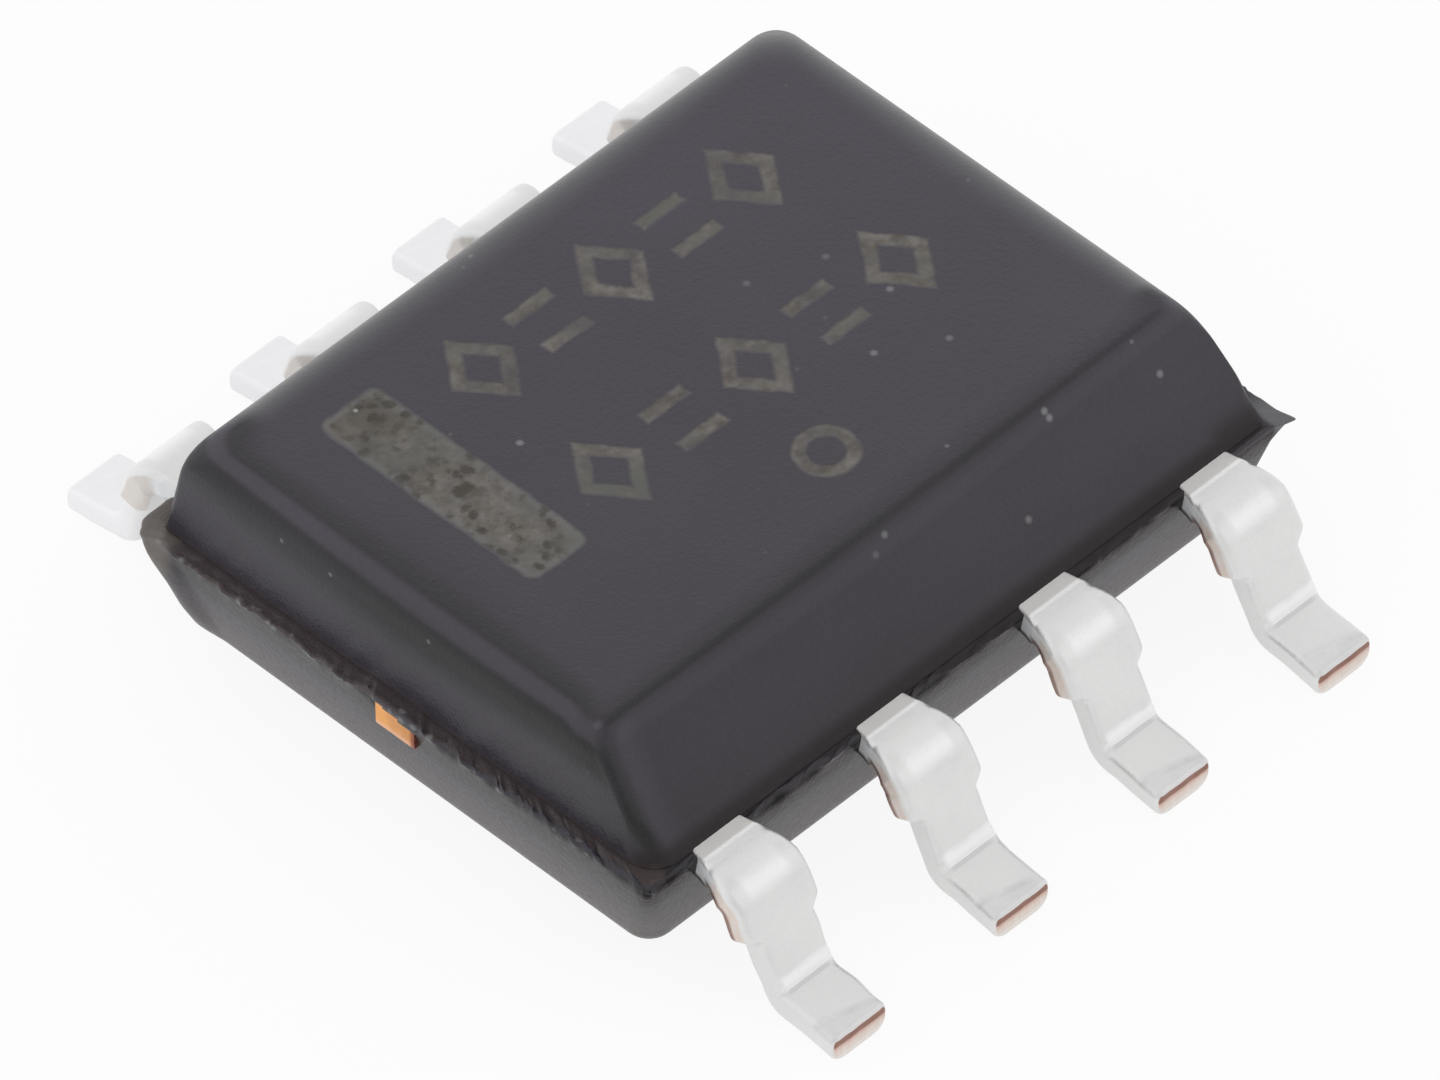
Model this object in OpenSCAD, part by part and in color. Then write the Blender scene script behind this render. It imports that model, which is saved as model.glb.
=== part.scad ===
// Voltage supervisor chip in an eight-lead small-outline package. An epoxy body is
// moulded round a stamped copper lead frame, with the die on a paddle at the middle
// and gold wires from the die to the leads. Lead 1 is the one at -X on the -Y side,
// and the count runs on anticlockwise as seen from above. The leads stand on z = 0.

/* [Body] */
// Length of the lower half along the parting line
body_l = 4.98; // [4.86:0.02:5.10]
// Width of the lower half along the parting line
body_w = 3.92; // [3.86:0.02:4.00]
// Height of the top face above the seating plane
body_top = 1.58; // [1.54:0.02:1.74]
// Height of the underside above the seating plane
standoff = 0.17; // [0.10:0.01:0.22]
// Height of the parting line, level with the top of the lead frame
part_z = 0.91; // [0.88:0.01:0.95]
// Draft of the upper half's walls, in degrees
upper_draft = 8; // [5:0.5:12]
// Draft of the lower half's walls, in degrees
lower_draft = 12; // [7:0.5:14]
// Ledge left at both ends where the upper half is shorter than the lower
end_ledge = 0.085; // [0.05:0.005:0.13]
// Shift of the upper half towards +X, where the halves of the mould don't quite meet
mould_shift = 0.015; // [0:0.005:0.03]
// Ledge left along both sides where the upper half is narrower than the lower
side_ledge = 0.05; // [0.03:0.01:0.08]
// Radius of the upper half's top edges
top_r = 0.20; // [0.12:0.01:0.22]
// Radius of the lower half's bottom edges
bottom_r = 0.19; // [0.10:0.01:0.22]
// Corner radius of both halves at the parting line
corner_r = 0.05; // [0.03:0.01:0.12]
// Run of the sloped face beside leads 1 to 4, seen from above
bevel_w = 0.55; // [0.45:0.01:0.60]
// Diameter of the ejector pin marks in the underside
ejector_d = 0.80; // [0.60:0.05:1.00]

/* [Leads] */
// Distance from one lead to the next
pitch = 1.27; // [1.25:0.01:1.29]
// Width of a lead outside the body
lead_w = 0.37; // [0.31:0.01:0.45]
// Thickness of the lead frame strip
lead_t = 0.20; // [0.17:0.01:0.22]
// Distance between the toes of the two rows
lead_span = 6.00; // [5.92:0.02:6.10]
// Length of a foot, from the toe in to the crease
foot_l = 0.39; // [0.34:0.01:0.42]
// Slope of a foot down to its toe, in degrees
foot_a = 8; // [4:1:9]
// Distance from the body's side out to the corner of a lead's shoulder
shoulder_out = 0.31; // [0.28:0.01:0.33]
// Inside radius of the bend at the shoulder
shoulder_r = 0.10; // [0.06:0.01:0.11]
// Inside radius of the bend at the heel
heel_r = 0.04; // [0.03:0.01:0.06]
// Sideways reach of the stubs where the dam bar was cut off
stub_out = 0.07; // [0.03:0.01:0.09]
// Length of a stub down the leg
stub_leg = 0.14; // [0.08:0.01:0.18]
// Length over which a stub runs out into the plain strip of the leg
stub_slope = 0.07; // [0.04:0.01:0.09]
// Length over which a lead widens from the body's side to its stubs
flare_l = 0.20; // [0.12:0.01:0.24]

/* [Inside] */
// Length of the paddle under the die
paddle_l = 2.60; // [2.40:0.05:2.70]
// Width of the paddle under the die
paddle_w = 1.80; // [1.60:0.05:1.90]
// Depth of the paddle below the leads
downset = 0.18; // [0.10:0.01:0.20]
// Width of the tie bars that hold the paddle at both ends
tie_w = 0.30; // [0.24:0.02:0.36]
// Gap between the paddle and the leads' inner fingers
finger_gap = 0.16; // [0.12:0.01:0.20]
// Width of the inner fingers, where the wires are bonded
finger_w = 0.56; // [0.48:0.02:0.62]
// Length of the die
die_l = 1.60; // [1.40:0.05:1.80]
// Width of the die
die_w = 1.20; // [1.00:0.05:1.40]
// Thickness of the die
die_t = 0.25; // [0.20:0.01:0.28]
// Thickness of the adhesive under the die
attach_t = 0.02; // [0.02:0.01:0.03]
// Diameter of the bond wires
wire_d = 0.03; // [0.02:0.01:0.04]
// Rise of the wire loops above the die
loop_h = 0.16; // [0.12:0.01:0.20]

/* [Hidden] */
$fn = 32;

epoxy = [0.29, 0.29, 0.31];
tin = [0.78, 0.78, 0.77];
copper = [0.80, 0.46, 0.22];
silver_glue = [0.72, 0.71, 0.68];
silicon = [0.42, 0.43, 0.47];
gold = [0.90, 0.70, 0.28];

// upper half: plan at the parting line, and the slope of the face beside leads 1 to 4
upper_x = body_l / 2 - end_ledge;
upper_y = body_w / 2 - side_ledge;
upper_h = body_top - part_z;
bevel_a = atan(bevel_w / upper_h);
ledge_t = 0.05;
ejector_depth = 0.03;
// thin slabs that close a hull, and the overlap of a cut past its face
skin = 0.01;

// lead strip: crease and shoulder corners on its top face, u outwards and z upwards
lead_z = part_z - lead_t;
toe_u = lead_span / 2;
crease_u = toe_u - foot_l;
crease_z = lead_t / cos(foot_a) + foot_l * tan(foot_a);
corner_u = body_w / 2 + shoulder_out;
leg_a = atan((crease_u - corner_u) / (part_z - crease_z));
bend_a = 90 - leg_a;
heel_a = 90 - leg_a - foot_a;
shoulder_R = shoulder_r + lead_t;
heel_R = heel_r + lead_t;
shoulder_c = [corner_u - shoulder_R * tan(bend_a / 2), part_z - shoulder_R];
heel_c = [crease_u + heel_r * tan(heel_a / 2) * cos(foot_a) + heel_r * sin(foot_a),
          crease_z - heel_r * tan(heel_a / 2) * sin(foot_a) + heel_r * cos(foot_a)];
bend_steps = 10;
// the stubs start inside the strip, this far from its sides
stub_lap = 0.02;

// lead frame inside the body
neck_in = 0.45;
neck_u = body_w / 2 - neck_in;
finger_lap = 0.06;
finger_taper = 0.14;
finger_u = paddle_w / 2 + finger_gap;
side_finger_u = 0.62;
side_finger_x = paddle_l / 2 + finger_gap + finger_w / 2;
tie_root = 0.20;
tie_run = 0.10;
paddle_z = lead_z - downset;
attach_z = paddle_z + lead_t;
glue_margin = 0.04;
die_z = attach_z + attach_t;
die_top = die_z + die_t;

// bond pads on the die, and where each wire is stitched to its finger
pad_in = 0.10;
stitch_in = 0.12;
side_stitch_in = 0.14;
pad_x = [-die_l / 2 + pad_in, -die_l / 5, die_l / 5, die_l / 2 - pad_in];
pad_u = [die_w / 4, die_w / 2 - pad_in, die_w / 2 - pad_in, die_w / 4];
stitch_x = [-side_finger_x, -pitch / 2, pitch / 2, side_finger_x];
stitch_u = [side_finger_u + side_stitch_in, finger_u + stitch_in,
            finger_u + stitch_in, side_finger_u + side_stitch_in];
wire_steps = 10;
wire_sides = 8;

function arc(c, r, from, to, n = bend_steps) =
    [for (i = [0:n]) let (a = from + (to - from) * i / n) c + r * [cos(a), sin(a)]];
function back(list) = [for (i = [len(list) - 1:-1:0]) list[i]];

// outline of the bent strip from inside the body to the toe
function strip_outline() = concat(
    [[neck_u, part_z]],
    arc(shoulder_c, shoulder_R, 90, leg_a),
    arc(heel_c, heel_r, 180 + leg_a, 270 - foot_a),
    [[toe_u, lead_t / cos(foot_a)], [toe_u, 0]],
    back(arc(heel_c, heel_R, 180 + leg_a, 270 - foot_a)),
    back(arc(shoulder_c, shoulder_r, 90, leg_a)),
    [[neck_u, lead_z]]);

// outline of the stretch that the dam bar crossed: the level, the bend and the top of the leg
function stub_outline() = let (
    outer = arc(shoulder_c, shoulder_R, 90, leg_a),
    inner = arc(shoulder_c, shoulder_r, 90, leg_a),
    down = stub_leg * [sin(leg_a), -cos(leg_a)])
    concat([[body_w / 2 - finger_lap, part_z]], outer, [outer[bend_steps] + down, inner[bend_steps] + down],
           back(inner), [[body_w / 2 - finger_lap, lead_z]]);

// plan of a stub's end on the leg: full width up to there, then sloped into the plain strip
function stub_end() = let (
    v = lead_w / 2 + stub_out,
    w = lead_w / 2 - stub_lap,
    run = stub_slope * (v - w) / stub_out)
    [[-v, -stub_leg / 2], [v, -stub_leg / 2], [v, 0], [w, run], [-w, run], [-v, 0]];

// plan of a lead that widens from the body's side to the full width of its stubs, seen from above
function flare_plan() = let (
    v = lead_w / 2 + stub_out,
    w = lead_w / 2 - stub_lap,
    wide = body_w / 2 + flare_l,
    start = wide - flare_l * (v - w) / stub_out)
    [[-w, start], [w, start], [v, wide], [v, toe_u], [-v, toe_u], [-v, wide]];

// extrudes an outline in (u, z) across a lead, with u along -Y
module across(w) {
    rotate([90, 0, -90])
        linear_extrude(height = w, center = true)
            children();
}

// plan of a lead inside the body: a neck, then a wider finger for the wire
module finger_plan(x0, x1, tip_u) {
    polygon([[x0 - lead_w / 2, body_w / 2 - finger_lap], [x0 - lead_w / 2, neck_u],
             [x1 - finger_w / 2, neck_u - finger_taper], [x1 - finger_w / 2, tip_u],
             [x1 + finger_w / 2, tip_u], [x1 + finger_w / 2, neck_u - finger_taper],
             [x0 + lead_w / 2, neck_u], [x0 + lead_w / 2, body_w / 2 - finger_lap]]);
}

// what is left of the dam bar on one lead: flared out from the body, sloped off on the leg
module dam_stub() {
    leg_end = shoulder_c + shoulder_R * [cos(leg_a), sin(leg_a)] + stub_leg * [sin(leg_a), -cos(leg_a)];
    intersection() {
        across(lead_w + 2 * (stub_out + stub_lap)) polygon(stub_outline());
        linear_extrude(height = body_top)
            mirror([0, 1])
                polygon(flare_plan());
    }
    translate([0, -leg_end[0], leg_end[1]])
        rotate([-90 - leg_a, 0, 0])
            linear_extrude(height = lead_t) polygon(stub_end());
}

// one whole lead on the -Y side, counted 0 to 3 along +X
module lead_shape(i) {
    x0 = (i - 1.5) * pitch;
    outer = i == 0 || i == 3;
    union() {
        translate([x0, 0, 0])
            across(lead_w) polygon(strip_outline());
        translate([x0, 0, 0])
            dam_stub();
        translate([0, 0, lead_z])
            linear_extrude(height = lead_t)
                mirror([0, 1])
                    finger_plan(x0, outer ? sign(x0) * side_finger_x : x0, outer ? side_finger_u : finger_u);
    }
}

// places a piece in the row it belongs to: 1 to 4 as made, 5 to 8 turned half round
module in_row(n) {
    rotate([0, 0, n > 4 ? 180 : 0])
        children();
}

module lead(n) {
    in_row(n) lead_shape((n - 1) % 4);
}

// sphere tangent to the top face and to two walls at a corner of the upper half
module upper_corner(sx, sy, slope) {
    zc = body_top - top_r;
    rise = zc - part_z;
    xc = upper_x - rise * tan(upper_draft) - top_r / cos(upper_draft);
    yc = upper_y - rise * tan(slope) - top_r / cos(slope);
    translate([sx * xc, sy * yc, zc])
        sphere(r = top_r);
}

module lower_corner(sx, sy) {
    zc = standoff + bottom_r;
    drop = part_z - ledge_t - zc;
    inset = drop * tan(lower_draft) + bottom_r / cos(lower_draft);
    translate([sx * (body_l / 2 - inset), sy * (body_w / 2 - inset), zc])
        sphere(r = bottom_r);
}

// rounded plate, the plan of either half at the parting line
module plate(lx, ly, z, h) {
    translate([0, 0, z])
        linear_extrude(height = h)
            hull()
                for (sx = [-1, 1], sy = [-1, 1])
                    translate([sx * (lx - corner_r), sy * (ly - corner_r)])
                        circle(r = corner_r);
}

// thin slab with square corners at the middles of the four rounded corners of a half
module face_slab(x, y_low, y_high, z) {
    translate([-x, y_low, z])
        cube([2 * x, y_high - y_low, skin]);
}

module upper_half() {
    rise = body_top - top_r - part_z;
    xc = upper_x - rise * tan(upper_draft) - top_r / cos(upper_draft);
    translate([mould_shift, 0, 0])
        hull() {
            plate(upper_x, upper_y, part_z, skin);
            face_slab(xc, -upper_y + rise * tan(bevel_a) + top_r / cos(bevel_a),
                      upper_y - rise * tan(upper_draft) - top_r / cos(upper_draft), body_top - skin);
            for (sx = [-1, 1]) {
                upper_corner(sx, 1, upper_draft);
                upper_corner(sx, -1, bevel_a);
            }
        }
}

module lower_half() {
    inset = (part_z - ledge_t - standoff - bottom_r) * tan(lower_draft) + bottom_r / cos(lower_draft);
    hull() {
        plate(body_l / 2, body_w / 2, part_z - ledge_t, ledge_t);
        face_slab(body_l / 2 - inset, inset - body_w / 2, body_w / 2 - inset, standoff);
        for (sx = [-1, 1], sy = [-1, 1])
            lower_corner(sx, sy);
    }
}

// everything that the epoxy closes round
module insert() {
    for (n = [1:8])
        lead(n);
    paddle_shape();
    attach_shape();
    die_shape();
    for (n = [1:8])
        wire(n);
}

module mould_body() {
    color(epoxy)
        difference() {
            union() {
                lower_half();
                upper_half();
            }
            insert();
            for (sx = [-1, 1])
                translate([sx * body_l / 4, 0, standoff - skin])
                    cylinder(d = ejector_d, h = ejector_depth + skin);
        }
}

// paddle and its tie bars: the bars run level at the ends and step down to the paddle
module paddle_shape() {
    root = paddle_l / 2 - tie_root;
    low = paddle_l / 2 + tie_run;
    high = low + downset;
    union() {
        translate([-paddle_l / 2, -paddle_w / 2, paddle_z])
            cube([paddle_l, paddle_w, lead_t]);
        for (side = [0, 180])
            rotate([0, 0, side])
                rotate([90, 0, 0])
                    linear_extrude(height = tie_w, center = true)
                        polygon([[root, paddle_z], [low, paddle_z], [high, lead_z], [body_l / 2, lead_z],
                                 [body_l / 2, part_z], [high, part_z], [low, attach_z], [root, attach_z]]);
    }
}

module attach_shape() {
    translate([-die_l / 2 - glue_margin, -die_w / 2 - glue_margin, attach_z])
        cube([die_l + 2 * glue_margin, die_w + 2 * glue_margin, attach_t]);
}

module die_shape() {
    translate([-die_l / 2, -die_w / 2, die_z])
        cube([die_l, die_w, die_t]);
}

module die_paddle() {
    color(copper) paddle_shape();
}

module die_attach() {
    color(silver_glue) attach_shape();
}

module die() {
    color(silicon) die_shape();
}

// bond wire: a round section swept along a loop that leaves the pad and meets the finger upright
function loop_point(a, b, s) = let (
    top = die_top + loop_h,
    p1 = [a[0], a[1], top + loop_h / 2],
    p2 = [b[0], b[1], top])
    pow(1 - s, 3) * a + 3 * pow(1 - s, 2) * s * p1 + 3 * (1 - s) * s * s * p2 + pow(s, 3) * b;

// radius along the wire: a flattened ball on the pad, then the plain wire, then the pressed stitch
function wire_r(i) = wire_d / 2 * (i == 0 ? 2.4 : i == 1 ? 1.5 : i == wire_steps ? 1.8 : 1);

module wire_shape(a, b) {
    run = [b[0] - a[0], b[1] - a[1], 0] / norm([b[0] - a[0], b[1] - a[1]]);
    side = [-run[1], run[0], 0];
    pts = [for (i = [0:wire_steps]) loop_point(a, b, i / wire_steps)];
    tangent = [for (i = [0:wire_steps])
        i == 0 ? [0, 0, 1] :
        i == wire_steps ? [0, 0, -1] :
        (pts[i + 1] - pts[i - 1]) / norm(pts[i + 1] - pts[i - 1])];
    rings = [for (i = [0:wire_steps], k = [0:wire_sides - 1])
        let (ang = 360 * k / wire_sides, n = cross(side, tangent[i]))
        pts[i] + wire_r(i) * (cos(ang) * side + sin(ang) * n)];
    walls = [for (i = [0:wire_steps - 1], k = [0:wire_sides - 1])
        let (p = i * wire_sides, q = p + wire_sides, m = (k + 1) % wire_sides)
        each [[p + k, q + k, q + m], [p + k, q + m, p + m]]];
    ends = [[for (k = [0:wire_sides - 1]) k],
            [for (k = [wire_sides - 1:-1:0]) wire_steps * wire_sides + k]];
    polyhedron(points = rings, faces = concat(walls, ends));
}

module wire(n) {
    i = (n - 1) % 4;
    in_row(n)
        wire_shape([pad_x[i], -pad_u[i], die_top], [stitch_x[i], -stitch_u[i], part_z]);
}

module lead_piece(n) {
    color(tin) lead(n);
}

module wire_piece(n) {
    color(gold) wire(n);
}

module lead_1() {
    lead_piece(1);
}

module lead_2() {
    lead_piece(2);
}

module lead_3() {
    lead_piece(3);
}

module lead_4() {
    lead_piece(4);
}

module lead_5() {
    lead_piece(5);
}

module lead_6() {
    lead_piece(6);
}

module lead_7() {
    lead_piece(7);
}

module lead_8() {
    lead_piece(8);
}

module bond_wire_1() {
    wire_piece(1);
}

module bond_wire_2() {
    wire_piece(2);
}

module bond_wire_3() {
    wire_piece(3);
}

module bond_wire_4() {
    wire_piece(4);
}

module bond_wire_5() {
    wire_piece(5);
}

module bond_wire_6() {
    wire_piece(6);
}

module bond_wire_7() {
    wire_piece(7);
}

module bond_wire_8() {
    wire_piece(8);
}

mould_body();
lead_1();
lead_2();
lead_3();
lead_4();
lead_5();
lead_6();
lead_7();
lead_8();
die_paddle();
die_attach();
die();
bond_wire_1();
bond_wire_2();
bond_wire_3();
bond_wire_4();
bond_wire_5();
bond_wire_6();
bond_wire_7();
bond_wire_8();
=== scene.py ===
# %% [markdown]
# # A voltage supervisor chip
# A small black chip stands on eight bent leads. A lead frame is stamped from copper sheet, the die
# is glued to its paddle and wired to the leads, epoxy is moulded round the middle, and only then
# are the leads plated, trimmed and bent. The CAD model holds those pieces at their real sizes. This
# script draws the epoxy and the leads again as smooth surfaces and gives every piece a finish.

# %% The frame from the CAD model
import math
from functools import partialmethod

import bpy
import numpy as np
from mathutils import Matrix, Vector


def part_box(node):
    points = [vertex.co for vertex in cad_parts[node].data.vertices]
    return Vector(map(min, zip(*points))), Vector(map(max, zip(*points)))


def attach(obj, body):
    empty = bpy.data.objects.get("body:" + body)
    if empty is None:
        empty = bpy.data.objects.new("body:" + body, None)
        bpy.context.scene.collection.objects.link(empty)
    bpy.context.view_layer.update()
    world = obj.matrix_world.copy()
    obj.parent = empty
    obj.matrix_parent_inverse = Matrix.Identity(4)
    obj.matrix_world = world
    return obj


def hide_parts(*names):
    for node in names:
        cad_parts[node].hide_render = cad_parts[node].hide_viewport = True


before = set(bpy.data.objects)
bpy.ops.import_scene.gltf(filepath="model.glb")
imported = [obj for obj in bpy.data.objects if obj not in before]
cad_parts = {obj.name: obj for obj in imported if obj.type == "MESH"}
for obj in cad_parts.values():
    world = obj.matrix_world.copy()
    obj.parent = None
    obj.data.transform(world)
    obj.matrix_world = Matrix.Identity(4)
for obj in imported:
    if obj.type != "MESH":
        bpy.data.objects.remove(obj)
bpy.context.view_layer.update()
scene = bpy.context.scene
MM = 0.001

# %% [markdown]
# ## Sizes of the body
# Sizes are the CAD model's, in millimetres, and are turned into metres when a mesh is made. Some are
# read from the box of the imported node, so the two models can't drift apart. Each corner has radii of
# its own, listed anticlockwise from the corner at +X and +Y.

# %% Sizes of the body in millimetres
body_low, body_high = (np.array(c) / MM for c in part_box("mould_body"))
BODY_X, BODY_Y = body_high[0], 1.96
TOP_Z, STANDOFF = body_high[2], body_low[2]
PART_Z = 0.91
UPPER_DRAFT, LOWER_DRAFT = math.radians(8), math.radians(12)
END_LEDGE, SIDE_LEDGE, LEDGE_T, MOULD_SHIFT = 0.085, 0.05, 0.05, 0.015
TOP_R, EDGE_Z, BOTTOM_R, CORNER_R = 0.17, 0.21, 0.19, 0.05
BEVEL_W, BEVEL_R = 0.55, 0.10
BEVEL_A = math.atan(BEVEL_W / (TOP_Z - PART_Z))
TOP_CORNERS, WALL_CORNERS = (0.20, 0.18, 0.06, 0.14), (0.05, 0.05, 0.05, 0.01)
FOOT_CORNERS, LIP_CORNERS = (0.05, 0.05, 0.20, 0.09), (0.05, 0.05, 0.05, 0.015)
TIE_HALF = 0.15
EJECTOR_R, EJECTOR_DEPTH = 0.40, 0.03
size = f"{2 * BODY_X:.2f} x {2 * BODY_Y:.2f} x {TOP_Z:.2f} mm"
print(f"body {size}, one side sloped by {math.degrees(BEVEL_A):.1f} degrees")

# %% [markdown]
# ## From an array to a mesh
# Both the epoxy body and a lead are closed loops, one after another, and each loop is a rectangle
# with rounded corners. One helper makes the loops. Another joins them by quads, closes both ends
# with one face each, and writes values per point as attributes that a material can read.

# %% Rounded rectangles as loops
CORNER_SIGNS = ((1, 1), (-1, 1), (-1, -1), (1, -1))


def rounded_loops(reach, radii, corner_points, side_points):
    """Quarter circles about centres that lie their radius inside both sides, and even steps on the
    sides between. reach gives for each corner how far the loop goes in both directions, radii its
    radius, one row per loop. Returns (rows, points, 2)."""
    quarter = np.linspace(0, math.pi / 2, corner_points)
    arcs = []
    for k, ((sx, sy), (x, y), r) in enumerate(zip(CORNER_SIGNS, reach, radii)):
        angle = quarter + k * math.pi / 2
        arcs.append(np.stack([sx * (x - r) + r * np.cos(angle), sy * (y - r) + r * np.sin(angle)], -1))
    share = (np.arange(1, side_points + 1) / (side_points + 1))[None, :, None]
    loops = []
    for arc, following in zip(arcs, arcs[1:] + arcs[:1]):
        loops += [arc, arc[:, -1:] * (1 - share) + following[:, :1] * share]
    return np.concatenate(loops, 1)


def window(distance, edge, soft):
    """1 inside edge, 0 outside edge + soft, with a smooth step between."""
    t = np.clip((edge + soft - distance) / soft, 0, 1)
    return t * t * (3 - 2 * t)


# %% The helper that makes a mesh
def loops_to_piece(name, loops, values, sharp):
    """Joins each loop to the next by quads and closes both ends. loops is (rows, points, 3) in mm,
    anticlockwise round the direction of the rows. Edges that bend by over sharp degrees stay crisp."""
    rows, points = loops.shape[:2]
    index = np.arange(rows * points).reshape(rows, points)
    turned = np.roll(index, -1, axis=1)
    quads = np.stack([index[:-1], turned[:-1], turned[1:], index[1:]], -1).reshape(-1, 4)
    faces = quads.tolist() + [index[0, ::-1].tolist(), index[-1].tolist()]
    mesh = bpy.data.meshes.new(name)
    mesh.from_pydata((loops.reshape(-1, 3) * MM).tolist(), [], faces)
    mesh.polygons.foreach_set("use_smooth", np.ones(len(faces), bool))
    for key, numbers in values.items():
        attribute = mesh.attributes.new(key, "FLOAT", "POINT")
        attribute.data.foreach_set("value", numbers.ravel().astype(np.float32))
    mesh.set_sharp_from_angle(angle=math.radians(sharp))
    mesh.update()
    piece = bpy.data.objects.new(name, mesh)
    scene.collection.objects.link(piece)
    print(f"{name}: {rows} loops of {points} points")
    return piece


# %% [markdown]
# ## The moulded body
# Seen from above the body is a rounded rectangle at every height, so a table of levels describes
# it: how high a loop lies, how far it reaches to the ends, to the plain side and to the sloped
# side, and how round its corners are. The two mould halves meet at the level of the leads. The
# lower half is a little larger, which leaves a ledge, and epoxy pressed into the joint leaves a
# ragged lip. A table was chosen over a box with a Bevel modifier because the four walls have two
# different slopes and the edges stay exact.

# %% Levels of the lower half
NEARLY_FLAT = math.radians(88)
# The lip in section: height over the rim, and how far it stands out
LIP_SECTION = ((0.014, 0.000), (0.026, 0.002), (0.036, 0.001), (0.043, -0.003), (0.046, -0.008))


def lower_levels():
    """Arc of radius BOTTOM_R tangent to walls that lean by LOWER_DRAFT, the wall, the rim with its
    lip. Columns: height, reach at the ends, at +Y, at -Y, corner radius, share of the upper half."""
    centre_z = STANDOFF + BOTTOM_R
    lean = (PART_Z - LEDGE_T - centre_z) * math.tan(LOWER_DRAFT)
    inset = lean + BOTTOM_R / math.cos(LOWER_DRAFT)
    turn = np.linspace(-NEARLY_FLAT, -LOWER_DRAFT, 9)
    out, z = BOTTOM_R * np.cos(turn), centre_z + BOTTOM_R * np.sin(turn)
    side = BODY_Y - inset + out
    arc = np.stack([z, BODY_X - inset + out, side, side, out, 0 * out], -1)
    rim = np.array([PART_Z - LEDGE_T, BODY_X, BODY_Y, BODY_Y, CORNER_R, 0.0])
    share = np.linspace(0, 1, 12)[1:, None]
    wall = arc[-1] * (1 - share) + rim * share
    over, out = np.array(LIP_SECTION).T
    lip = rim + np.stack([over, out, out, out, out, 0 * out], -1)
    return np.vstack([arc, wall, lip])


levels_low = lower_levels()
print(len(levels_low), "levels in the lower half")

# %% Levels of the upper half
# The ledge in section: depth under the joint, reach past the wall at the ends and at the sides,
# and the share of the upper half in it
LEDGE_SECTION = ((0.006, 0.060, 0.030, 0.3), (0.008, 0.030, 0.015, 0.7),
                 (0.010, 0.008, 0.006, 1.0), (0.012, 0.001, 0.001, 1.0))
WALL_FOOT = 0.006
TOP_INSETS = (0.03, 0.06, 0.10, 0.15)


def reach_over(z, start, slope, wide, high):
    """Wall that leans by slope, and a quarter of an ellipse that touches it and the top."""
    centre_z = TOP_Z - high
    touch = math.hypot(wide * math.cos(slope), high * math.sin(slope))
    centre = start - (centre_z - PART_Z) * math.tan(slope) - touch / math.cos(slope)
    rise = np.clip((z - centre_z) / high, 0, 1)
    met = math.sin(math.atan(high / wide * math.tan(slope)))
    wall = start - (z - PART_Z) * math.tan(slope)
    return np.where(rise < met, wall, centre + wide * np.sqrt(1 - rise ** 2))


def upper_levels():
    """The ledge with its crevice, the walls, and a top edge TOP_R wide and EDGE_Z high. The side at
    -Y leans by BEVEL_A with a tighter edge, the other three by UPPER_DRAFT."""
    x0, y0 = BODY_X - END_LEDGE, BODY_Y - SIDE_LEDGE
    depth, end_out, side_out, upper = np.array(LEDGE_SECTION).T
    side, radius = y0 + side_out, np.full(len(depth), CORNER_R)
    ledge = np.stack([PART_Z - depth, x0 + end_out, side, side, radius, upper], -1)
    turn = np.linspace(UPPER_DRAFT, NEARLY_FLAT, 26)
    z_arc = TOP_Z - EDGE_Z + EDGE_Z * np.sin(turn)
    z_wall = np.linspace(PART_Z - WALL_FOOT, z_arc[0], 16)[:-1]
    z = np.concatenate([z_wall, z_arc])
    end = reach_over(z, x0, UPPER_DRAFT, TOP_R, EDGE_Z)
    plain = reach_over(z, y0, UPPER_DRAFT, TOP_R, EDGE_Z)
    bevel = reach_over(z, y0, BEVEL_A, BEVEL_R, BEVEL_R)
    same = np.ones(len(z))
    walls = np.stack([z, end, plain, bevel, CORNER_R * same, same], -1)
    top = walls[-1] - np.array(TOP_INSETS)[:, None] * np.array([0, 1, 1, 1, 0, 0])
    return np.vstack([ledge, walls, top])


levels_up = upper_levels()
levels = np.vstack([levels_low, levels_up])
JOINT_ROW = len(levels_low)
LEDGE_ROWS = len(LEDGE_SECTION)
EDGE_ROW = len(levels) - len(TOP_INSETS) - 1
print(len(levels_up), "levels in the upper half")

# %% [markdown]
# ### Loops of the body
# Each level becomes a loop. No two corners of the mould are worn alike, so the radius of each slides
# from one value to the next with the height.

# %% Loops of the body
SIDE_POINTS, CORNER_POINTS = 160, 11


def plan_loops(level):
    """Rounded rectangle of each level. Each corner blends from its wall radius to its own radius
    at the foot, at the top and at the lip, and the upper half sits MOULD_SHIFT off the lower."""
    z, x, y_plus, y_minus, radius, upper = (level[:, k, None] for k in range(6))
    near_top = window(TOP_Z - z, 0.02, 0.23)
    near_foot = window(z - PART_Z, 0.03, 0.25) * upper
    near_lip = window(PART_Z - z, 0.05, 0.10) * (1 - upper)
    radii = []
    for top, wall, foot, lip in zip(TOP_CORNERS, WALL_CORNERS, FOOT_CORNERS, LIP_CORNERS):
        plain = radius + upper * (wall - radius) + near_lip * (lip - radius)
        radii.append(plain + near_top * (top - plain) + near_foot * (foot - plain))
    reach = ((x, y_plus), (x, y_plus), (x, y_minus), (x, y_minus))
    loops = rounded_loops(reach, radii, CORNER_POINTS, SIDE_POINTS)
    return loops + np.stack([MOULD_SHIFT * upper, 0 * upper], -1)


def corner_middle(k):
    """Index of the middle point of corner k in a loop."""
    return k * (CORNER_POINTS + SIDE_POINTS) + CORNER_POINTS // 2


plain_plan = plan_loops(levels)
print(len(plain_plan), "loops")

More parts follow.
